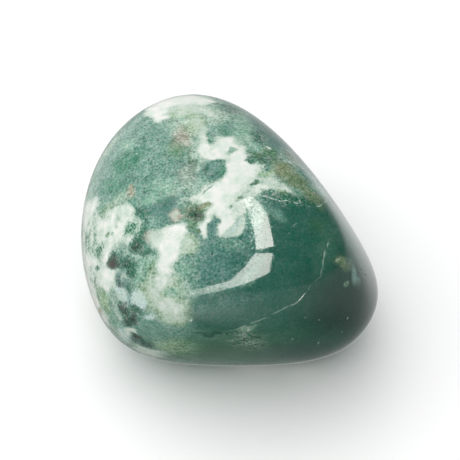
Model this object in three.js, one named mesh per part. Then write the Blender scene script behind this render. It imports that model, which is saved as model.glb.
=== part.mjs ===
// A tumbled tree agate: one solid pebble, lying on the flattest face that wear has left on it.
// Millimetres, +Z up, +X to the right as the stone is seen from the front, which is -Y.
// The origin is under the middle of the stone, on the surface that it lies on.

import * as THREE from "three";
import { mergeVertices } from "three/addons/utils/BufferGeometryUtils.js";

// The lump of rough that was tumbled: an ellipsoid, by its half sizes.
const LUMP = new THREE.Vector3(15.8, 18.5, 15.5);

// The broad faces that wear left on it. Each looks out along its azimuth, which turns from +X
// towards +Y, and its elevation, and lies at its reach from the middle of the lump.
const WORN_FACES = [
  { azimuth: 0, elevation: -90, reach: 10.8 }, // underside, which the stone lies on
  { azimuth: 28, elevation: 22, reach: 10 }, // long slope down the right side
  { azimuth: 54, elevation: 36, reach: 12.2 }, // shoulder behind the long slope
  { azimuth: -90, elevation: -25, reach: 13.5 }, // under the front
  { azimuth: 90, elevation: 80, reach: 12.8 }, // top
  { azimuth: 110, elevation: 5, reach: 16.3 }, // back
];

// How closely the stone keeps to its faces: a higher power rounds less between them.
const FACE_POWER = 8;

// How deep the underside is worn truly flat.
const FLAT_WEAR = 0.15;

// Quads along each edge of the cube that is blown up to the stone.
const QUADS = 20;

// Side of that cube before it is blown up: its faces lie at -1 and 1.
const CUBE_SIDE = 2;

const POLISHED_AGATE = new THREE.MeshStandardMaterial({
  color: 0x6f9a8a,
  roughness: 0.15,
  metalness: 0,
});

// The unit vector that looks out along an azimuth and an elevation, in degrees.
function outward(azimuth, elevation) {
  const turn = THREE.MathUtils.degToRad(azimuth);
  const rise = THREE.MathUtils.degToRad(elevation);
  return new THREE.Vector3(
    Math.cos(turn) * Math.cos(rise),
    Math.sin(turn) * Math.cos(rise),
    Math.sin(rise),
  );
}

// How far the worn surface is from the middle of the lump, along a unit direction.
function radiusAlong(direction) {
  let wear = direction.clone().divide(LUMP).length() ** FACE_POWER;
  for (const { azimuth, elevation, reach } of WORN_FACES) {
    const facing = outward(azimuth, elevation).dot(direction) / reach;
    wear += Math.max(0, facing) ** FACE_POWER;
  }
  return wear ** (-1 / FACE_POWER);
}

// A cube of quads whose lines are spaced by equal angles, so that none is large on the stone.
function quadCube() {
  const cube = new THREE.BoxGeometry(CUBE_SIDE, CUBE_SIDE, CUBE_SIDE, QUADS, QUADS, QUADS);
  cube.deleteAttribute("normal");
  cube.deleteAttribute("uv");
  const merged = mergeVertices(cube);
  const position = merged.getAttribute("position");
  position.array.forEach((value, i) => {
    position.array[i] = Math.tan((value * Math.PI) / 4);
  });
  return merged;
}

// Blow the cube up to the worn surface, wear its underside flat and stand it on the origin.
function stoneGeometry() {
  const geometry = quadCube();
  const position = geometry.getAttribute("position");
  const point = new THREE.Vector3();
  for (let i = 0; i < position.count; i++) {
    point.fromBufferAttribute(position, i).normalize();
    point.multiplyScalar(radiusAlong(point));
    position.setXYZ(i, point.x, point.y, point.z);
  }
  geometry.computeBoundingBox();
  const middle = geometry.boundingBox.getCenter(new THREE.Vector3());
  const floor = geometry.boundingBox.min.z + FLAT_WEAR;
  for (let i = 0; i < position.count; i++)
    position.setZ(i, Math.max(floor, position.getZ(i)));
  geometry.translate(-middle.x, -middle.y, -floor);
  return geometry;
}

const stone = new THREE.Mesh(stoneGeometry(), POLISHED_AGATE);
stone.name = "stone";

const treeAgate = new THREE.Group();
treeAgate.add(stone);

export default treeAgate;
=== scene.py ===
from math import cos, radians, sin

import bpy
import numpy as np
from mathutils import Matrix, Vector, noise


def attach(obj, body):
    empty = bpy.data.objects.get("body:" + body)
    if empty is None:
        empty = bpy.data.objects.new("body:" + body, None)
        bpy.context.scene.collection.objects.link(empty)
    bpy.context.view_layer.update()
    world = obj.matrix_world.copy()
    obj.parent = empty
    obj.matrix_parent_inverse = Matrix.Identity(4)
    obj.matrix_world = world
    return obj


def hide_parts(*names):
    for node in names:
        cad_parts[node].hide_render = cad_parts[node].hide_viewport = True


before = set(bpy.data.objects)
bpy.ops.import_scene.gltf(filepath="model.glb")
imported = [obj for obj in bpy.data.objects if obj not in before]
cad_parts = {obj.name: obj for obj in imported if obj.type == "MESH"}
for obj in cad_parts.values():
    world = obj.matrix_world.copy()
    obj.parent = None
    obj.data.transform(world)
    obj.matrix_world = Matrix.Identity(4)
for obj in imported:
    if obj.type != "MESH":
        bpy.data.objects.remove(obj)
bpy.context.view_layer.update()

# The viewpoint. The photograph looks down on the stone from the front, 50 degrees above the
# horizon, through a long lens. It comes first, because the markings on the stone are set out in
# the photograph's pixels and carried to its surface along the camera's rays.
MM = 0.001
PHOTO_SIDE = 460
LOOKING_DOWN = radians(50)
LENS_MM = 180
SENSOR_MM = 36
AIM = Vector((0.06, -0.375, 11.53)) * MM
DISTANCE = 232.7 * MM
RIGHT = Vector((1, 0, 0))
UP = Vector((0, sin(LOOKING_DOWN), cos(LOOKING_DOWN)))
TOWARDS_CAMERA = RIGHT.cross(UP)

bpy.ops.object.camera_add(
    location=AIM + TOWARDS_CAMERA * DISTANCE,
    rotation=(radians(90) - LOOKING_DOWN, 0, 0),
)
camera = bpy.context.object
camera.data.lens = LENS_MM
camera.data.sensor_width = SENSOR_MM
camera.data.clip_start = 10 * MM
bpy.context.scene.camera = camera


def in_photo(points):
    """The pixel columns and rows at which the camera sees points, as two arrays."""
    offset = points - np.array(AIM)
    depth = DISTANCE - offset @ np.array(TOWARDS_CAMERA)
    pixels = PHOTO_SIDE * LENS_MM / SENSOR_MM / depth
    columns = PHOTO_SIDE / 2 + pixels * (offset @ np.array(RIGHT))
    rows = PHOTO_SIDE / 2 - pixels * (offset @ np.array(UP))
    return columns, rows


# The stone's body: one pebble of agate, rounded by weeks in a tumbling drum. The CAD solid's
# facets are merged and rounded off. The side that the photograph shows gets a finer mesh than the
# rest, and the two old fissures in it and the pits that the drum left get a finer one still.
PIXEL = 0.1012 * MM  # on the stone, as far from the camera as its middle
SEAM = 0.001 * MM  # the corners of the solid's triangles lie within this of each other
# how squarely the surface faces the camera, from 0 at the stone's outline to 1:
FINE_FACING = 0.28  # the mesh is finer above this, and fissures and pits are cut only there
SEEN_FACING = 0.12  # a pixel is looked up only above this
FORM_LEVELS = 4  # subdivisions of the smooth form that the mesh is fitted to
MESH_LEVELS = 2
FISSURES = {
    # name: column, row and how open it is at each point
    "upper": [
        (262.7, 196, 0.5), (270.3, 198, 0.9), (279.9, 201.2, 0.7), (285, 200.3, 1), (290.7, 201.9, 0.6),
        (299.3, 203.6, 1), (305.4, 205.7, 0.7), (312.4, 207, 0.8), (318.8, 206.3, 0.9),
        (325.8, 201.4, 0.6), (331, 200.5, 0.3),
    ],
    "upper_spur": [(299.3, 203.6, 0.8), (299.6, 198.7, 0.6)],
    "lower": [
        (328.2, 242.8, 0.7), (324.6, 253.6, 0.8), (322, 268.9, 0.5), (320.2, 277.2, 0.15),
        (311.3, 284.2, 0.1), (308, 290, 0.35), (301.7, 297.6, 1), (294.7, 304, 0.7),
        (288.3, 306.5, 0.9), (280, 310.4, 0.4), (269.3, 316.7, 0.3), (256.5, 321, 0.35),
        (246.3, 325, 0.6), (237.4, 329.4, 0.4), (222, 331.5, 0.05),
    ],
}
GROOVE_WIDTH = 0.1 * MM
GROOVE_DEPTH = 0.06 * MM
GROOVE_WAVE = 0.7  # mm from one bend of a fissure to the next
GROOVE_WANDER = 0.8  # how far it bends, in pixels
GROOVE_BREAK = (-0.3, 0.1)  # noise under which a fissure is healed, and over which it is open
PITS = {
    # name: column, row and radius in mm
    "crown": (157.8, 140.2, 0.13), "cheek": (148.6, 159.8, 0.13), "heart": (212, 254, 0.16),
    "edge_high": (368.3, 267, 0.17), "edge_mid": (361, 270, 0.12), "edge_low": (364.6, 275.5, 0.2),
    "foot": (349, 318, 0.1),
}
NOISE_SEED = 4  # without one, the noise would differ from run to run
PIT_SLOPE = 0.25  # depth of the pits over the radius of the smallest
PIT_FLOOR = 0.3  # how much of its radius is flat
DETAIL_ZONES = (4.5, 2.4)  # pixels from a fissure or radii from a pit: finer, and finer again


def select_only(thing):
    """Make one object the selected and active one."""
    bpy.ops.object.select_all(action="DESELECT")
    thing.select_set(True)
    bpy.context.view_layer.objects.active = thing


def round_off(thing, levels):
    """Round an object's facets by subdivision, and apply it."""
    select_only(thing)
    rounding = thing.modifiers.new("rounding", "SUBSURF")
    rounding.levels = rounding.render_levels = levels
    bpy.ops.object.modifier_apply(modifier=rounding.name)


def read(items, name, width=3):
    """An array of one property of every vertex or face."""
    values = np.empty(len(items) * width)
    items.foreach_get(name, values)
    return values.reshape(-1, width) if width > 1 else values


def smooth(values, low, high):
    """0 below low, 1 above high, and a smooth step between."""
    share = np.clip((values - low) / (high - low), 0, 1)
    return share * share * (3 - 2 * share)


def refine(thing, chosen):
    """Split the chosen faces of an object in four."""
    select_only(thing)
    bpy.ops.object.mode_set(mode="EDIT")
    bpy.ops.mesh.select_all(action="DESELECT")
    bpy.ops.object.mode_set(mode="OBJECT")
    thing.data.polygons.foreach_set("select", chosen)
    bpy.context.tool_settings.mesh_select_mode = (False, False, True)
    bpy.ops.object.mode_set(mode="EDIT")
    bpy.ops.mesh.subdivide(number_cuts=1)
    bpy.ops.object.mode_set(mode="OBJECT")


def from_fissures(columns, rows):
    """How many pixels each place is from the nearest fissure, and how open that is there."""
    nearest = np.full(len(columns), np.inf)
    opening = np.zeros(len(columns))
    for line in FISSURES.values():
        for (x0, y0, open0), (x1, y1, open1) in zip(line, line[1:]):
            along_x, along_y = x1 - x0, y1 - y0
            share = (columns - x0) * along_x + (rows - y0) * along_y
            share = np.clip(share / (along_x**2 + along_y**2), 0, 1)
            gap = np.hypot(columns - x0 - share * along_x, rows - y0 - share * along_y)
            opening = np.where(gap < nearest, open0 + share * (open1 - open0), opening)
            nearest = np.minimum(nearest, gap)
    return nearest, opening


def from_pits(columns, rows):
    """How far each place is from the nearest pit, in radii of that pit."""
    gaps = [
        np.hypot(columns - column, rows - row) * PIXEL / (radius * MM)
        for column, row, radius in PITS.values()
    ]
    return np.min(gaps, axis=0)


stone = bpy.data.objects.new("tumbled_stone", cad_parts["stone"].data.copy())
bpy.context.collection.objects.link(stone)
select_only(stone)
bpy.ops.object.mode_set(mode="EDIT")
bpy.ops.mesh.select_all(action="SELECT")
bpy.ops.mesh.remove_doubles(threshold=SEAM)
bpy.ops.mesh.tris_convert_to_quads()
bpy.ops.object.mode_set(mode="OBJECT")
form = stone.copy()
form.data = stone.data.copy()
bpy.context.collection.objects.link(form)
round_off(form, FORM_LEVELS)
round_off(stone, MESH_LEVELS)
refine(stone, read(stone.data.polygons, "normal") @ np.array(TOWARDS_CAMERA) > FINE_FACING)
for zone in DETAIL_ZONES:
    centres = in_photo(read(stone.data.polygons, "center"))
    seen = read(stone.data.polygons, "normal") @ np.array(TOWARDS_CAMERA) > FINE_FACING
    refine(stone, seen & ((from_fissures(*centres)[0] < zone) | (from_pits(*centres) < zone)))
select_only(stone)
fitting = stone.modifiers.new("fitting", "SHRINKWRAP")
fitting.target = form
bpy.ops.object.modifier_apply(modifier=fitting.name)
bpy.data.objects.remove(form)


def drift(places, wave):
    """Smooth noise at each place, as vectors of about unit length: one wave is so many mm."""
    return np.array([noise.noise_vector(Vector(place) / (wave * MM)) for place in places])


noise.seed_set(NOISE_SEED)
points = read(stone.data.vertices, "co")
normals = read(stone.data.vertices, "normal")
facing = normals @ np.array(TOWARDS_CAMERA)
columns, rows = in_photo(points)
wander = drift(points, GROOVE_WAVE) * GROOVE_WANDER
gap, opening = from_fissures(columns + wander[:, 0], rows + wander[:, 1])
fissure = opening * (1 - smooth(gap * PIXEL, 0, GROOVE_WIDTH)) * smooth(wander[:, 2], *GROOVE_BREAK)
fissure[facing < FINE_FACING] = 0
pit = 1 - smooth(from_pits(columns, rows), PIT_FLOOR, 1)
pit[facing < FINE_FACING] = 0
pit_depth = PIT_SLOPE * min(radius for _, _, radius in PITS.values()) * MM
worn = points - normals * (fissure * GROOVE_DEPTH + pit * pit_depth)[:, None]
stone.data.vertices.foreach_set("co", worn.ravel())
bpy.ops.object.shade_smooth()

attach(stone, "root")
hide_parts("stone")


def colour(hexadecimal):
    """Linear red, green, blue and alpha of an sRGB colour."""
    channels = [int(hexadecimal[i : i + 2], 16) / 255 for i in (0, 2, 4)]
    linear = [c / 12.92 if c <= 0.04045 else ((c + 0.055) / 1.055) ** 2.4 for c in channels]
    return (*linear, 1)


# The markings: moss-green chlorite and milk-white chalcedony, grown through clear, deep green
# chalcedony before the stone was broken and tumbled. Each patch of a mineral is an ellipsoid round
# the point of the stone that the photograph shows at a pixel. It overlies the patches before it,
# and noise frays its edge. They are colour alone, because the drum wore them all level. Only the
# band under the strip light is no mineral: it is a painted reflection.
MINERALS = {
    # name: colour, how grainy it is, how much milk-white is in it, width of its edge in mm
    "moss": ("6C9082", 1.0, 0, 0.9),
    "soft_moss": ("7FA390", 0.8, 0, 0.9),
    "pale_moss": ("9DB4A4", 0.9, 0, 0.8),
    "bright_moss": ("4B8069", 1.0, 0, 0.8),
    "leaf": ("63876B", 1.1, 0, 0.7),
    "dark_moss": ("416C5A", 1.6, -0.05, 0.45),
    "dark_leaf": ("42684B", 1.3, -0.1, 0.5),
    "black_moss": ("2C4A3A", 2.0, -0.15, 0.4),
    "teal": ("557B71", 0.8, 0, 0.8),
    "deep_teal": ("436B60", 0.65, 0, 0.8),
    "olive": ("7E8767", 0.8, 0, 0.6),
    "olive_moss": ("6A8063", 1.0, -0.05, 0.7),
    "rust": ("30261E", 0.7, -0.2, 0.3),
    "rose": ("9A9B8A", 1.1, 0, 0.8),
    "sand": ("B8A68C", 0.5, 0, 0.4),
    "deep": ("325D50", 0.4, 0, 0.5),
    "deep_dark": ("294D43", 0.15, 0, 1.8),
    "deep_grey": ("1F3B32", 0.15, 0, 3.4),
    "deep_olive": ("3A614C", 0.2, 0, 1.6),
    "deep_mist": ("3F6758", 0.4, 0, 1.5),
    "clear_teal": ("6B8E81", 0.6, 0, 0.9),
    # no mineral: the paler grey-green of a painted reflection
    "painted_reflection": ("4C7065", 0.6, 0, 0.9),
    "blush_moss": ("8C9C90", 1.0, 0, 0.8),
    "dark_teal": ("44685E", 1.3, 0, 0.5),
    "veil": ("6D8B83", 0.6, 0.1, 0.5),
    # milk alone, which leaves the colour under it as it is
    "milk": (None, None, 1.0, 1.6),
    "thin_milk": (None, None, 0.68, 1.6),
    "haze": (None, None, 0.42, 1.4),
    "breath": (None, None, 0.25, 1.2),
    # mixtures
    "broken_moss": ("6B967F", 1.7, 0.32, 0.6),
    "pale_leaf": ("8BA888", 0.8, 0, 0.8),
    "leaf_speckled": ("71906F", 1.1, 0.4, 0.8),
    "rose_milk": ("B3A79B", 0.5, 0.45, 0.6),
    "cream": ("A9BC9C", 0.8, 0.5, 0.9),
    "ice": ("C8DCDD", 0.9, 0.4, 0.7),
    "dim_scar": ("567563", 1.4, 0.05, 0.6),
    "scar": ("7C9A86", 1.1, 0.15, 0.5),
}
PATCHES = {
    # name: mineral, column, row, half length and half width in mm, and lean in degrees
    # the clear side, which reaches round to the right and underneath
    "clear_side": ("deep", 345, 290, 9.2, 9.0, 0),
    "clear_body": ("deep", 314, 250, 6.0, 5.3, 0),
    "clear_band": ("deep", 262, 312, 7.6, 2.6, 4),
    "clear_corner": ("deep_grey", 352, 308, 4.6, 4.6, 10),
    "clear_foot": ("deep_olive", 235, 350, 8.5, 1.9, 0),
    "clear_foot_right": ("deep_dark", 318, 350, 4.6, 1.6, 8),
    "foot_line": ("deep_dark", 213, 332.5, 2.3, 0.12, 0),
    "foot_olive": ("leaf", 180, 348, 2.0, 1.2, -4),
    "foot_olive_left": ("pale_leaf", 164, 345, 1.5, 0.8, -8),
    "foot_pale": ("pale_moss", 150, 350, 1.6, 0.9, -20),
    "clear_left": ("clear_teal", 158, 330, 2.2, 1.5, 0),
    # a painted reflection: the paler, greyer band under the strip light
    "band_reflection": ("painted_reflection", 228, 303, 2.4, 0.7, 6),
    "band_reflection_left": ("painted_reflection", 203, 306, 1.0, 0.8, 0),
    "body_shimmer": ("clear_teal", 279, 216, 0.7, 0.4, -20),
    "body_shimmer_low": ("deep_olive", 318, 226, 0.8, 0.6, 0),
    "body_mist": ("deep_mist", 327, 245, 0.9, 2.4, -15),
    "shelf": ("dark_moss", 290, 200, 2.2, 0.5, -10),
    # moss of the heart and the neck
    "heart": ("teal", 222, 256, 3.8, 3.2, 20),
    "heart_dark": ("deep_teal", 240, 260, 1.9, 1.1, 36),
    "heart_left": ("moss", 188, 272, 1.3, 2.4, -20),
    "heart_low": ("teal", 210, 270, 1.8, 0.9, 15),
    "heart_up": ("moss", 225, 243, 1.8, 0.6, -5),
    "heart_stem": ("teal", 211, 228, 0.75, 1.5, 0),
    "heart_haze": ("breath", 192, 276, 1.2, 1.0, 0),
    "neck": ("teal", 160, 211, 2.1, 1.1, -10),
    "neck_dark": ("dark_moss", 143, 213, 0.6, 0.6, 0),
    "neck_right": ("deep_teal", 168, 200, 0.9, 0.9, 0),
    "neck_top": ("soft_moss", 150, 200, 1.3, 0.5, 10),
    "neck_pale": ("pale_moss", 173, 190, 0.7, 0.5, 0),
    # moss of the crown
    "crown_right": ("soft_moss", 238, 125, 3.4, 1.7, -40),
    "crown_right_edge": ("teal", 270, 136, 4.4, 0.9, -48),
    "crown_edge_teal": ("deep_teal", 268, 136, 1.5, 0.6, -48),
    "crown_bright": ("moss", 229, 125, 0.9, 0.7, -10),
    "crown_bright_low": ("bright_moss", 224, 131, 0.5, 0.3, 10),
    "crown_streak": ("bright_moss", 208.5, 139, 0.2, 0.6, 0),
    "crown_pale": ("pale_moss", 215, 119, 0.7, 0.5, 0),
    "crown_pale_right": ("pale_moss", 224, 116, 0.8, 0.5, 0),
    "crown_spots": ("dark_moss", 258, 138, 1.0, 0.6, -50),
    "crown_dark": ("dark_moss", 228, 110, 1.0, 0.45, -35),
    "crown_dark_left": ("dark_teal", 215, 102, 0.5, 0.35, 0),
    "crown_speck": ("dark_moss", 213, 113, 0.25, 0.15, 0),
    "pale_crown": ("pale_moss", 188, 122, 1.9, 1.2, 0),
    "pale_crown_low": ("pale_moss", 196, 148, 0.8, 1.8, 0),
    "green_in_crown": ("soft_moss", 181, 117, 0.8, 0.5, 0),
    "olive_flank": ("leaf", 177, 150, 0.9, 0.9, 0),
    "olive_flank_low": ("dark_leaf", 192, 161, 0.35, 1.4, 5),
    "rose_flank": ("rose", 182, 138, 0.9, 0.9, 0),
    "rose_flank_right": ("rose_milk", 187, 143, 0.3, 0.3, 0),
    "blush_flank": ("blush_moss", 184, 172, 0.8, 1.0, 0),
    # moss of the left cheek
    "cheek": ("bright_moss", 133, 158, 1.1, 0.6, 28),
    "cheek_low": ("bright_moss", 121, 168, 1.0, 0.7, 28),
    "cheek_low_right": ("bright_moss", 137, 166, 0.4, 0.6, 0),
    "cheek_edge": ("bright_moss", 111, 186, 1.2, 0.7, 10),
    "cheek_pale": ("soft_moss", 127, 144, 0.6, 0.7, -20),
    "cheek_fleck": ("haze", 127, 146, 0.25, 0.2, 30),
    "cheek_fleck_high": ("haze", 137, 154, 0.2, 0.12, 30),
    "cheek_low_moss": ("soft_moss", 163, 189, 1.3, 0.7, 0),
    "cheek_rim": ("pale_moss", 109, 148, 2.6, 0.35, 55),
    "cheek_rim_low": ("soft_moss", 92, 182, 2.2, 0.4, 72),
    # the white cap
    "cap": ("milk", 178, 101, 3.2, 0.95, 3),
    "cap_left": ("milk", 157, 109, 1.1, 0.7, 25),
    "cap_wedge": ("milk", 162, 117, 0.8, 0.5, 0),
    "cap_fringe": ("cream", 190, 112, 2.2, 0.5, 5),
    "cap_right": ("milk", 203, 101, 0.7, 0.6, -15),
    "crown_haze": ("thin_milk", 206, 113, 0.8, 0.6, -10),
    "crown_fleck": ("haze", 219, 115, 0.6, 0.4, -10),
    # the white patch, the column beside it and the long diagonal
    "column_top": ("cream", 197, 124, 0.8, 0.8, 0),
    "column": ("thin_milk", 203, 140, 0.4, 1.3, 0),
    "column_low": ("pale_moss", 194, 156, 0.3, 0.7, 0),
    "patch": ("milk", 224, 146.5, 1.7, 0.95, 6),
    "patch_left": ("milk", 205, 152, 0.6, 0.8, 0),
    "patch_foot": ("milk", 216, 157, 0.9, 0.35, 0),
    "island_left": ("haze", 200, 165, 0.4, 0.7, 0),
    "patch_right": ("haze", 244, 144, 0.7, 0.5, -20),
    "bridge": ("milk", 238, 160, 1.1, 1.0, -20),
    "diagonal_top": ("milk", 245, 173, 1.7, 1.2, 30),
    "diagonal": ("milk", 228, 185, 2.7, 1.25, 22),
    "diagonal_foot": ("milk", 200, 201, 1.4, 0.75, 12),
    "diagonal_edge": ("haze", 186, 203, 0.7, 0.4, 0),
    "spot_top": ("haze", 194, 208, 0.5, 0.3, 0),
    "flank_pale": ("pale_moss", 189, 188, 0.8, 0.4, 20),
    "lobe": ("milk", 219, 205, 1.5, 1.5, 0),
    "lobe_low": ("milk", 226, 222, 0.9, 1.3, -10),
    "lobe_left": ("milk", 201, 218, 0.45, 0.8, 0),
    "lobe_right": ("milk", 234, 206, 1.1, 1.2, 0),
    "lobe_green": ("thin_milk", 236, 211, 0.7, 1.0, 10),
    "lobe_green_low": ("haze", 239, 225, 0.45, 0.45, 45),
    "lobe_stem": ("teal", 212, 223, 0.45, 1.0, 0),
    "lobe_left_low": ("milk", 203, 226, 0.35, 0.9, -15),
    "lobe_ice": ("ice", 236, 228, 1.0, 0.35, 45),
    "lobe_gleam": ("thin_milk", 240, 232, 1.0, 0.3, 45),
    "lobe_cream": ("thin_milk", 242, 193, 0.8, 0.6, 0),
    "wedge": ("thin_milk", 274, 184, 1.5, 0.75, -10),
    "wedge_left": ("milk", 260, 186.5, 0.9, 0.4, 0),
    "wedge_tip": ("thin_milk", 289, 192, 0.8, 0.35, -45),
    "edge_haze": ("haze", 289, 163, 1.5, 0.9, -40),
    # the left white field
    "left_edge": ("thin_milk", 94, 207, 0.9, 1.2, 10),
    "left_field": ("milk", 115, 225, 1.9, 1.9, 10),
    "left_field_top": ("thin_milk", 126, 212, 0.8, 0.45, 20),
    "left_field_right": ("thin_milk", 127, 238, 0.7, 0.8, 0),
    "left_field_low": ("milk", 102, 250, 1.3, 2.2, 0),
    "field_mist": ("thin_milk", 101, 240, 1.2, 1.5, 0),
    "left_field_foot": ("milk", 107, 278, 1.0, 1.3, -10),
    "left_field_tail": ("thin_milk", 119, 291, 1.2, 0.8, -35),
    "left_corner": ("thin_milk", 94, 266, 0.9, 2.4, 8),
    "left_rim": ("milk", 86, 236, 0.7, 3.8, 3),
    "low_rim": ("milk", 95, 298, 0.5, 2.6, 22),
    "low_rim_foot": ("haze", 110, 330, 0.6, 2.0, 40),
    # the middle white column
    "middle_head": ("milk", 176, 231, 1.1, 0.8, 10),
    "middle_heart": ("milk", 174, 247, 0.95, 1.0, 0),
    "middle_neck": ("haze", 161, 238, 0.7, 0.5, 0),
    "middle_column": ("milk", 167, 253, 1.2, 1.9, 12),
    "middle_left": ("haze", 156, 254, 0.35, 0.6, 0),
    "middle_foot": ("milk", 160, 276, 0.8, 1.3, 0),
    "middle_haze": ("cream", 190, 242, 0.7, 0.8, 0),
    "middle_cream": ("soft_moss", 184, 270, 0.5, 0.8, -20),
    "middle_tail": ("rose_milk", 170, 284, 0.3, 0.8, -10),
    # the low white bands
    "low_cream_left": ("cream", 158, 290, 1.9, 1.4, 0),
    "low_cream_milk_left": ("thin_milk", 162, 284, 0.8, 0.9, 0),
    "low_cream_end": ("haze", 155, 304, 0.5, 0.5, 0),
    "low_milk_left": ("haze", 119, 301, 0.4, 0.4, 0),
    "low_milk_top": ("haze", 131, 302, 0.6, 0.3, 0),
    "low_cream": ("cream", 170, 304, 1.6, 1.1, -12),
    "low_cream_milk": ("thin_milk", 175, 307, 1.0, 0.55, -10),
    "low_green_left": ("soft_moss", 172, 293, 0.7, 0.5, 0),
    "low_cream_right": ("breath", 187, 293, 1.0, 1.0, 0),
    "low_cream_foot": ("cream", 174, 317, 0.8, 0.6, -30),
    "low_cream_crumb": ("haze", 182, 315, 0.3, 0.3, 0),
    "ice_band": ("ice", 119, 290, 0.9, 0.4, -45),
    "ice_band_right": ("ice", 136, 298, 0.9, 0.5, -25),
    "ice_crumbs": ("ice", 151, 317, 0.5, 0.3, 10),
    "ice_crumbs_high": ("ice", 142, 304, 0.45, 0.2, -50),
    "foot_white": ("ice", 124, 334, 0.9, 0.6, -48),
    "foot_cream": ("thin_milk", 133, 331, 0.4, 0.35, 0),
    "foot_edge": ("thin_milk", 146, 350, 1.6, 0.6, -25),
    "star": ("thin_milk", 191, 320, 0.15, 0.25, -15),
    # green and dark growths over the white
    "band": ("leaf_speckled", 112, 206, 2.0, 0.5, 38),
    "band_low": ("soft_moss", 101, 209, 0.7, 0.35, 60),
    "band_under": ("leaf_speckled", 104, 218, 0.5, 0.3, 20),
    "band_cream": ("pale_moss", 118, 200, 1.2, 0.4, 30),
    "edge_specks": ("broken_moss", 88, 243, 0.6, 1.3, 5),
    "edge_leaf": ("broken_moss", 96, 252, 0.6, 0.9, 5),
    "edge_dark": ("dark_moss", 97, 267, 0.15, 0.2, 40),
    "edge_specks_high": ("broken_moss", 93, 229, 0.5, 0.8, 15),
    "edge_specks_low": ("broken_moss", 92, 270, 0.4, 0.4, 20),
    "field_speck": ("pale_leaf", 107.5, 235, 0.2, 0.2, 0),
    "field_speck_right": ("pale_leaf", 113, 233, 0.15, 0.15, 0),
    "field_cloud": ("leaf_speckled", 117, 219, 0.5, 0.3, 30),
    "field_specks": ("broken_moss", 131, 227, 0.9, 0.6, 30),
    "stem_top": ("dark_moss", 147, 217, 0.5, 0.7, 0),
    "stem": ("broken_moss", 138, 229, 0.5, 1.1, 0),
    "stem_heart": ("dark_moss", 146, 229, 0.5, 0.6, 0),
    "stem_vein": ("dark_moss", 140, 238, 0.2, 1.2, 0),
    "stem_foot": ("dark_moss", 139, 244, 0.6, 0.75, 20),
    "stem_left": ("black_moss", 136, 248, 0.4, 0.2, 30),
    "stem_crumb": ("haze", 125, 248, 0.4, 0.4, 0),
    "stem_teal": ("moss", 151, 223, 0.7, 0.6, 0),
    "knot": ("black_moss", 115, 259, 0.6, 0.7, -10),
    "knot_foot": ("rust", 112, 265.5, 0.55, 0.32, 10),
    "knot_right": ("dark_moss", 126, 264, 1.0, 0.7, -10),
    "knot_green": ("soft_moss", 144, 267, 1.2, 1.0, 0),
    "knot_green_low": ("soft_moss", 137, 279, 0.8, 0.7, 20),
    "knot_pale_low": ("haze", 143, 285, 0.7, 0.45, 0),
    "knot_pale": ("leaf_speckled", 152, 272, 0.4, 0.8, 0),
    "stem_right": ("dark_moss", 147, 253, 0.5, 0.35, -15),
    "vein_white": ("haze", 139, 256.5, 1.2, 0.25, -12),
    "vein_white_down": ("haze", 147, 266, 0.12, 0.9, 10),
    "swirl": ("veil", 122, 276, 0.75, 0.7, 0),
    "swirl_milk": ("haze", 124, 275, 0.45, 0.45, 0),
    "swirl_rim": ("dark_teal", 118, 280, 0.22, 0.6, 15),
    "swirl_foot": ("dark_teal", 121, 285, 0.5, 0.35, -20),
    "swirl_right": ("dark_moss", 132, 275, 0.3, 0.7, 0),
    "knot_lower": ("dark_moss", 129, 291, 0.3, 0.6, 0),
    "brown_streak": ("rust", 95, 282, 0.12, 0.55, -20),
    "low_streak": ("leaf_speckled", 101, 300, 0.6, 1.4, 15),
    "low_streak_green": ("pale_leaf", 103, 301, 0.4, 1.1, 20),
    "low_streak_right": ("pale_moss", 113, 303, 0.3, 1.2, 10),
    "low_streak_foot": ("soft_moss", 116, 324, 0.5, 0.8, 30),
    "low_cream_edge": ("thin_milk", 106, 319, 0.4, 0.9, 30),
    "low_knot_left": ("black_moss", 123, 309, 0.35, 0.65, 0),
    "low_knot": ("dark_moss", 134, 308, 0.65, 0.5, 0),
    "low_knot_foot": ("black_moss", 133, 320, 0.6, 0.8, 0),
    "low_crumb_left": ("haze", 120, 317, 0.4, 0.6, 0),
    "low_crumb_foot": ("thin_milk", 128, 331, 0.6, 0.4, 0),
    "low_rust": ("rust", 137.5, 337, 0.5, 0.35, 20),
    "low_knot_skirt": ("dark_teal", 144, 345, 1.0, 0.45, -20),
    "low_orange": ("sand", 100, 312, 0.25, 0.3, 0),
    "island": ("teal", 214.5, 173, 1.0, 0.7, 0),
    "island_dark": ("dark_moss", 207, 171, 0.35, 0.35, 0),
    "island_dark_right": ("bright_moss", 222, 171, 0.5, 0.35, 0),
    "island_dark_low": ("dark_moss", 213, 175, 0.4, 0.15, 0),
    "island_eye": ("veil", 212, 171.5, 0.3, 0.3, 0),
    "vein": ("moss", 208, 189, 0.65, 0.09, 52),
    "mossy_spot": ("olive_moss", 192.5, 215, 0.9, 1.1, -5),
    "mossy_spot_dark": ("black_moss", 194, 215, 0.55, 0.55, 0),
    "mossy_spot_foot": ("leaf", 192, 225, 0.3, 0.3, 0),
    "olive_tail": ("olive", 206, 204, 0.6, 0.2, 20),
    "olive_fleck": ("olive_moss", 198, 231, 0.25, 0.2, 0),
    "rose_spot": ("rose_milk", 176, 218, 0.5, 0.38, 10),
    "rose_spot_dark": ("rose", 181, 217, 0.25, 0.2, 10),
    "rose_spot_left": ("rose_milk", 152, 234, 0.7, 0.4, 15),
    "field_rose": ("rose_milk", 116, 226, 0.2, 0.3, 0),
    "field_rose_low": ("rose_milk", 122, 236, 0.2, 0.25, 0),
    "sand_spot": ("sand", 131, 187, 0.15, 0.3, 0),
    "sand_haze": ("rose", 131, 191, 0.5, 0.5, 0),
    "lobe_speck": ("leaf_speckled", 230, 207.5, 0.25, 0.14, 35),
    "lobe_speck_high": ("leaf_speckled", 238, 199, 0.35, 0.22, 10),
    "patch_speck": ("soft_moss", 233, 150, 0.5, 0.3, 30),
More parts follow.
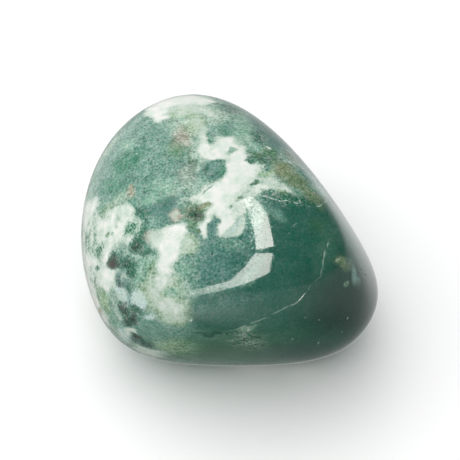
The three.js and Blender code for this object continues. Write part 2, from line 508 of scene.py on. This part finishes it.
    "bank": ("dark_leaf", 262, 155.5, 1.3, 0.5, -5),
    "bank_grey": ("dark_moss", 250, 159, 0.5, 0.32, -20),
    "bank_dark": ("dark_moss", 267, 160, 0.5, 0.4, 0),
    "bank_top": ("leaf", 268, 152, 0.7, 0.4, -20),
    "bank_cream": ("cream", 270, 174, 0.5, 0.35, 20),
    "bank_fleck": ("milk", 269.5, 148, 0.35, 0.1, -32),
    "bank_fleck_low": ("thin_milk", 263, 166, 0.25, 0.12, 30),
    "bank_right": ("olive", 284, 170, 1.2, 0.7, -42),
    "edge_rose": ("blush_moss", 291, 160, 1.1, 0.35, -50),
    "bank_right_low": ("olive_moss", 295, 182, 1.6, 0.7, -45),
    "bank_far": ("olive_moss", 312, 195, 1.6, 0.6, -42),
    "bank_far_sand": ("cream", 282, 192, 0.4, 0.25, -40),
    "tongue": ("dark_leaf", 256, 182, 0.45, 0.22, 25),
    "tongue_tip": ("pale_leaf", 264, 174, 0.6, 0.3, 25),
    "under_wedge": ("dark_moss", 276, 196.5, 1.6, 0.55, -4),
    "under_wedge_low": ("deep_teal", 272, 204, 0.8, 0.5, 0),
    "fracture": ("scar", 246.5, 329, 0.9, 0.3, 18),
    "fracture_fan": ("dim_scar", 246, 343, 1.7, 1.1, -25),
    "edge_olive": ("olive_moss", 343, 262, 0.8, 0.5, -35),
    "edge_fleck": ("cream", 337.7, 260.6, 0.2, 0.12, 30),
    "edge_ice": ("veil", 355, 274, 0.25, 0.9, 18),
    "edge_crumb": ("scar", 347, 283, 0.2, 0.14, 20),
}
FLECKS = [
    # column and row of each crumb of white
    (159, 125), (137, 154), (147, 166), (203, 244), (241, 242), (196, 262.5), (199, 252.5),
    (216.5, 254), (224.6, 334), (229.7, 334), (289.4, 233.7), (294.5, 225.8), (304.6, 318),
    (319, 319.5), (347.7, 318.5), (341.5, 331.8), (293, 339), (318, 343), (289, 364.6),
]
FLECK = (0.12, 0.08, 20)  # the half length, half width and lean of each
DEPTH_REACH = 2.5  # how deep a patch reaches, over its half length
SOFTEST = 0.8  # the widest edge of a patch, over its half width
FRAYING = [(3.1, 0.3), (1.3, 0.4), (0.5, 0.14)]  # length of each wave and its reach, mm
# the pale colour of the open fissures is a painted glint, where their edges catch the light
FISSURE_GLINT_COLOUR = "A9BDB3"
# the near-black of the pits is painted shade in their hollows
PIT_SHADE_COLOUR = "141D1A"
# The sides that the photograph doesn't show have drifts of the same minerals. The patches reach
# less deep there, and fray more, so that none ends in a straight smear along the camera's rays.
UNSEEN_SHALLOWER = 3
UNSEEN_FRAYING = [(6, 5), (2, 1.6)]
DRIFT_WAVES = [(5, 1), (5 / 3, 0.5)]  # length of each wave in mm, and how strong it is
GREEN_DRIFT = (-0.05, 0.35)  # how strong the noise is where a drift begins, and where it is full
MILK_DRIFT = (-0.1, 0.7)


def seen_at(column, row):
    """The vertex that the photograph shows nearest to a pixel."""
    gap = np.hypot(columns - column, rows - row)
    gap[facing < SEEN_FACING] = np.inf
    return gap.argmin()


frayed = points + sum(drift(points, wave) * reach * MM for wave, reach in FRAYING)
unseen = 1 - smooth(facing, 0, SEEN_FACING)
tint = np.tile(colour(MINERALS["moss"][0]), (len(points), 1))
grain = np.ones(len(points))
drifts = sum(drift(frayed, wave) * strength for wave, strength in DRIFT_WAVES)
for mineral, amount in (("bright_moss", drifts[:, 1]), ("deep", drifts[:, 2])):
    cover = unseen * smooth(amount, *GREEN_DRIFT)
    tint += cover[:, None] * (np.array(colour(MINERALS[mineral][0])) - tint)
    grain += cover * (MINERALS[mineral][1] - grain)
milk = unseen * smooth(drifts[:, 0], *MILK_DRIFT)
for wave, reach in UNSEEN_FRAYING:
    frayed += unseen[:, None] * drift(points, wave) * reach * MM
flecks = [("haze", *pixel, *FLECK) for pixel in FLECKS]
for mineral, column, row, long, wide, lean in [*PATCHES.values(), *flecks]:
    offset = frayed - frayed[seen_at(column, row)]
    across, upward = offset @ np.array(RIGHT), offset @ np.array(UP)
    turn = radians(lean)
    length = (across * cos(turn) + upward * sin(turn)) / (long * MM)
    width = (upward * cos(turn) - across * sin(turn)) / (wide * MM)
    depth = offset @ np.array(TOWARDS_CAMERA) / (DEPTH_REACH * max(long, wide) * MM)
    depth *= 1 + UNSEEN_SHALLOWER * unseen
    shade, mottle, milkiness, edge = MINERALS[mineral]
    softness = min(SOFTEST, edge / min(long, wide))
    cover = 1 - smooth(np.sqrt(length**2 + width**2 + depth**2), 1 - softness, 1 + softness)
    if shade:
        tint += cover[:, None] * (np.array(colour(shade)) - tint)
        grain += cover * (mottle - grain)
    milk += cover * (milkiness - milk)
# painted glint: the open fissures are painted pale along their length
tint += fissure[:, None] * (np.array(colour(FISSURE_GLINT_COLOUR)) - tint)
# painted shade: the pits are darkened to near-black and lose their milk-white
tint += pit[:, None] * (np.array(colour(PIT_SHADE_COLOUR)) - tint)
milk *= 1 - pit

for name, kind, key, values in (
    ("tint", "FLOAT_COLOR", "color", tint),
    ("grain", "FLOAT", "value", grain),
    ("milk", "FLOAT", "value", milk),
):
    stone.data.attributes.new(name, kind, "POINT").data.foreach_set(key, values.ravel())

# Polished agate: microcrystalline quartz, ground and then tumbled with cerium oxide to a wet
# gloss. The moss in it is grainy, and its softer grains leave fine matt specks in the polish.
QUARTZ_IOR = 1.54
POLISH_ROUGHNESS = 0.04
SPECK_ROUGHNESS = 0.26
MOTTLE_MM = 1.1  # clouds of denser and thinner moss
TUFT_MM = 0.45  # tufts of its darker threads
GRAIN_MM = 0.22  # its grains are a tenth of this, and are drawn coarser so that they show
SPECK_MM = 0.25  # the matt specks are as fine, and are drawn coarser for the same reason
NOISE_ROUGHNESS = 0.6
MOTTLE_SHARE = 0.6  # how strong the clouds are beside the grains
SHADING = 2.4  # how much the clouds and grains lighten and darken the moss
FADING = -1.9  # how much the lighter ones lose their green
GREENING = 1.3  # how much greener the tufts are
GREEN = 1.08  # and the moss on the whole
TUFT_START, TUFT_FULL = 0.04, 0.2  # of the tufts' noise
TUFT_STRENGTH = 0.4
TUFT_COLOUR = "2B5A47"
CLOUD_TEAR = 0.8  # how much the clouds tear the edge of the milk
GRAIN_TEAR = 0.6  # and how much the grains do
FRINGE_START, FRINGE_FULL = 0.15, 0.6  # how milky the stone is at the milk's thin fringe
FRINGE_COLOUR = "A6BCAB"
MILK_START, MILK_FULL = 0.35, 0.95  # and where the milk itself starts and is solid
COOL_MILK = "C8D5CA"
WARM_MILK = "E0E0DB"
COOLEST, WARMEST = -0.15, 0.15  # of the clouds' noise
SPECK_START, SPECK_FULL = 0.02, 0.14  # of the specks' noise


def add(tree, kind, links=(), **settings):
    """Add a node to a tree, with its settings, and its inputs by name: a value or a socket."""
    made = tree.nodes.new(kind)
    for name, value in settings.items():
        setattr(made, name, value)
    for name, value in dict(links).items():
        if isinstance(value, bpy.types.NodeSocket):
            tree.links.new(value, made.inputs[name])
        else:
            made.inputs[name].default_value = value
    return made


def swing(wave, detail):
    """Noise about zero, one wave so many mm, as strong as each place is grainy."""
    texture = add(
        tree, "ShaderNodeTexNoise",
        {"Vector": place, "Scale": 1 / (wave * MM), "Detail": detail, "Roughness": NOISE_ROUGHNESS},
    ).outputs["Fac"]
    centred = add(tree, "ShaderNodeMath", {0: texture, 1: 0.5}, operation="SUBTRACT").outputs[0]
    return add(tree, "ShaderNodeMath", {0: centred, 1: grain_layer}, operation="MULTIPLY").outputs[0]


agate = bpy.data.materials.new("polished_agate")
agate.use_nodes = True
tree = agate.node_tree
place = add(tree, "ShaderNodeTexCoord").outputs["Object"]
tint_layer = add(tree, "ShaderNodeAttribute", attribute_name="tint").outputs["Color"]
grain_layer = add(tree, "ShaderNodeAttribute", attribute_name="grain").outputs["Fac"]
milk_layer = add(tree, "ShaderNodeAttribute", attribute_name="milk").outputs["Fac"]

# the moss, lighter and darker with its clouds and grains, and dark in its tufts
fine = swing(GRAIN_MM, 2)
broad = swing(MOTTLE_MM, 3)
tufted = swing(TUFT_MM, 2)
both = add(
    tree, "ShaderNodeMath", {0: broad, 1: MOTTLE_SHARE, 2: fine}, operation="MULTIPLY_ADD"
).outputs[0]
value = add(
    tree, "ShaderNodeMath", {0: both, 1: SHADING, 2: 1.0}, operation="MULTIPLY_ADD"
).outputs[0]
greener = add(
    tree, "ShaderNodeMath", {0: tufted, 1: GREENING, 2: GREEN}, operation="MULTIPLY_ADD"
).outputs[0]
saturation = add(
    tree, "ShaderNodeMath", {0: both, 1: FADING, 2: greener}, operation="MULTIPLY_ADD"
).outputs[0]
shaded = add(
    tree, "ShaderNodeHueSaturation", {"Color": tint_layer, "Saturation": saturation, "Value": value}
).outputs["Color"]
tufts = add(
    tree, "ShaderNodeMapRange",
    {"Value": tufted, "From Min": TUFT_START, "From Max": TUFT_FULL, "To Max": TUFT_STRENGTH},
    interpolation_type="SMOOTHSTEP",
).outputs["Result"]
mossy = add(
    tree, "ShaderNodeMix", {"Factor": tufts, "A": shaded, "B": colour(TUFT_COLOUR)}, data_type="RGBA"
).outputs["Result"]

# the milk over it, torn at the edge, thin at its fringe and then solid
ragged = add(
    tree, "ShaderNodeMath", {0: broad, 1: CLOUD_TEAR, 2: milk_layer}, operation="MULTIPLY_ADD"
).outputs[0]
level = add(
    tree, "ShaderNodeMath", {0: fine, 1: GRAIN_TEAR, 2: ragged}, operation="MULTIPLY_ADD"
).outputs[0]
fringe = add(
    tree, "ShaderNodeMapRange",
    {"Value": level, "From Min": FRINGE_START, "From Max": FRINGE_FULL},
    interpolation_type="SMOOTHSTEP",
).outputs["Result"]
fringed = add(
    tree, "ShaderNodeMix", {"Factor": fringe, "A": mossy, "B": colour(FRINGE_COLOUR)}, data_type="RGBA"
).outputs["Result"]
milky = add(
    tree, "ShaderNodeMapRange",
    {"Value": level, "From Min": MILK_START, "From Max": MILK_FULL},
    interpolation_type="SMOOTHSTEP",
).outputs["Result"]
warmth = add(
    tree, "ShaderNodeMapRange", {"Value": broad, "From Min": COOLEST, "From Max": WARMEST}
).outputs["Result"]
whites = add(
    tree, "ShaderNodeMix", {"Factor": warmth, "A": colour(COOL_MILK), "B": colour(WARM_MILK)},
    data_type="RGBA",
).outputs["Result"]
surface = add(
    tree, "ShaderNodeMix", {"Factor": milky, "A": fringed, "B": whites}, data_type="RGBA"
).outputs["Result"]

# the polish, matt in specks
specked = swing(SPECK_MM, 1)
roughness = add(
    tree, "ShaderNodeMapRange",
    {
        "Value": specked, "From Min": SPECK_START, "From Max": SPECK_FULL,
        "To Min": POLISH_ROUGHNESS, "To Max": SPECK_ROUGHNESS,
    },
).outputs["Result"]
shader = tree.nodes["Principled BSDF"]
tree.links.new(surface, shader.inputs["Base Color"])
tree.links.new(roughness, shader.inputs["Roughness"])
shader.inputs["IOR"].default_value = QUARTZ_IOR
stone.data.materials.clear()
stone.data.materials.append(agate)

# The floor: a wide sheet of plain white paper. Paper is uncoated pulp, pressed flat but not
# glazed, so it is matt and evenly white. The stone's polish doesn't mirror it.
PAPER_SIDE = 4  # metres, enough to fill every view
PAPER_COLOUR = "F6F6F6"
PAPER_ROUGHNESS = 0.9
bpy.ops.mesh.primitive_plane_add(size=PAPER_SIDE)
floor = bpy.context.object
floor.name = "floor"
paper = bpy.data.materials.new("white_paper")
paper.use_nodes = True
matt = paper.node_tree.nodes["Principled BSDF"]
matt.inputs["Base Color"].default_value = colour(PAPER_COLOUR)
matt.inputs["Roughness"].default_value = PAPER_ROUGHNESS
matt.inputs["Specular IOR Level"].default_value = 0
floor.data.materials.append(paper)
floor.visible_glossy = False

# The light: a studio with a pale wall behind the stone at the left, a window behind it at the
# right and a table round it, which all show mostly in the polish, and a broad soft lamp overhead,
# which lights the stone but isn't mirrored in it.
SKYWARD = (0, 0, 1)
LEFTWARD = (-1, 0, 0)
PALE_WALL = (-0.85, 0.5, 0)
TABLE_UP = (0, 0.34, 0.94)  # its edge is mirrored higher in front of the stone than behind it
WINDOW_AXIS = (0.84, -0.44, -0.32)  # the window lies 60 to 80 degrees away from this
PAPER_BEHIND = (0, 0.64, -0.77)  # where the stone's outline mirrors the paper


def seen_towards(direction, low, high, weak, strong):
    """A strength for where the room is looked at: weak far from a direction, strong near it."""
    nearness = add(
        tree, "ShaderNodeVectorMath", {0: where, 1: direction}, operation="DOT_PRODUCT"
    ).outputs["Value"]
    return add(
        tree, "ShaderNodeMapRange",
        {"Value": nearness, "From Min": low, "From Max": high, "To Min": weak, "To Max": strong},
        interpolation_type="SMOOTHSTEP",
    ).outputs["Result"]


world = bpy.data.worlds.new("studio")
world.use_nodes = True
bpy.context.scene.world = world
bpy.context.scene.view_settings.view_transform = "Standard"
tree = world.node_tree
where = add(tree, "ShaderNodeTexCoord").outputs["Generated"]
room = seen_towards(PALE_WALL, low=-0.45, high=0.75, weak=0.06, strong=0.85)
table = seen_towards(TABLE_UP, low=-1, high=-0.3, weak=0.12, strong=0.55)
above = seen_towards(TABLE_UP, low=-0.05, high=0.05, weak=0, strong=1)
walls = add(tree, "ShaderNodeMix", {"Factor": above, "A": table, "B": room}).outputs["Result"]
paper_behind = seen_towards(PAPER_BEHIND, low=0.98, high=1, weak=0, strong=0.5)
plain = add(tree, "ShaderNodeMath", {0: walls, 1: paper_behind}, operation="ADD").outputs[0]

# the window and the side wall brighten only a band below the horizon, soft above and below
window_start = seen_towards(WINDOW_AXIS, low=-0.02, high=0.14, weak=0, strong=0.84)
window_end = seen_towards(WINDOW_AXIS, low=0.45, high=0.85, weak=1, strong=0)
window = add(
    tree, "ShaderNodeMath", {0: window_start, 1: window_end}, operation="MULTIPLY"
).outputs[0]
side_wall = seen_towards(LEFTWARD, low=0.3, high=0.6, weak=0, strong=0.4)
bright = add(tree, "ShaderNodeMath", {0: window, 1: side_wall}, operation="ADD").outputs[0]
band_foot = seen_towards(SKYWARD, low=-0.9, high=-0.4, weak=0, strong=1)
band_top = seen_towards(SKYWARD, low=-0.38, high=0.05, weak=1, strong=0)
footed = add(tree, "ShaderNodeMath", {0: bright, 1: band_foot}, operation="MULTIPLY").outputs[0]
strength = add(
    tree, "ShaderNodeMath", {0: footed, 1: band_top, 2: plain}, operation="MULTIPLY_ADD"
).outputs[0]
tree.links.new(strength, tree.nodes["Background"].inputs["Strength"])
tree.nodes["Background"].inputs["Color"].default_value = (1, 1, 1, 1)

# the lamp overhead: a square soft box, in metres and watts
LAMP_PLACE = (-0.1, -0.1, 0.9)
LAMP_SIDE = 1.6
LAMP_WATTS = 13.5
bpy.ops.object.light_add(type="AREA", location=LAMP_PLACE)
lamp = bpy.context.object
lamp.data.shape = "SQUARE"
lamp.data.size = LAMP_SIDE
lamp.data.energy = LAMP_WATTS
lamp.rotation_euler = lamp.location.to_track_quat("Z", "Y").to_euler()
lamp.visible_camera = False
lamp.visible_glossy = False

# The strip light: two lit lengths that meet at an angle, and the dark edge of their housing. The
# polish mirrors them as the bright bent shape on the front of the stone. Their edges are given as
# the pixels where the photograph shows them, and each corner is put where it is mirrored there.
STRIP_INNER = [(244, 197), (249.7, 215), (254, 231), (256.3, 249.3)]
STRIP_OUTER = [(252.5, 196), (265, 211), (271, 231), (273, 245.5)]
LOW_INNER = [(255, 254.3), (246, 266), (230.5, 280.2), (203, 288), (188, 292.5)]
LOW_OUTER = [(272.3, 252.6), (269.7, 273.3), (249.5, 282.2), (220, 291.4), (190, 296.3)]
HOUSING_OUTER = [(272.3, 254.1), (270.4, 274.6), (249.8, 283.8), (220.3, 293.2), (190, 297.6)]
UPRIGHT_GLOW = [10, 12.5, 13.5, 13.5]  # at each of its corners from the top down
LOW_GLOW = [11, 10.3, 9, 6, 3.3]  # the same, from the right to the left
STRIP_DISTANCE = 0.6  # metres
STRIP_COLOUR = "FFFAF3"

# Opal acrylic: extruded, and filled with fine white pigment. It scatters the light of the lamps
# behind it, so it glows softly and without spots, and less where the lamps end.
opal = bpy.data.materials.new("opal_acrylic")
opal.use_nodes = True
tree = opal.node_tree
glow_layer = add(tree, "ShaderNodeAttribute", attribute_name="glow").outputs["Fac"]
glowing = add(
    tree, "ShaderNodeEmission", {"Strength": glow_layer, "Color": colour(STRIP_COLOUR)}
).outputs["Emission"]
tree.links.new(glowing, tree.nodes["Material Output"].inputs["Surface"])


def mirrored(column, row):
    """Where a light has to be for the camera to see it mirrored at a pixel of the stone."""
    near = seen_at(column, row)
    ray = (Vector(points[near]) - camera.location).normalized()
    return Vector(points[near]) + ray.reflect(Vector(normals[near])) * STRIP_DISTANCE


def strip_light(name, inner, outer, glow):
    """A ribbon between two edges, given as the pixels that mirror them, and its glow along them."""
    corners = [mirrored(*pixel) for edge in (inner, outer) for pixel in edge]
    bpy.ops.mesh.primitive_grid_add(x_subdivisions=len(inner) - 1, y_subdivisions=1)
    ribbon = bpy.context.object
    ribbon.name = name
    ribbon.data.vertices.foreach_set("co", np.ravel(corners))
    ribbon.data.attributes.new("glow", "FLOAT", "POINT").data.foreach_set("value", glow + glow)
    ribbon.data.materials.append(opal)
    ribbon.visible_camera = False
    ribbon.visible_diffuse = False
    ribbon.visible_shadow = False


strip_light("upright_strip", STRIP_INNER, STRIP_OUTER, UPRIGHT_GLOW)
strip_light("level_strip", LOW_INNER, LOW_OUTER, LOW_GLOW)
strip_light("strip_edge", LOW_OUTER, HOUSING_OUTER, [0] * len(LOW_OUTER))  # dark: it has no glow
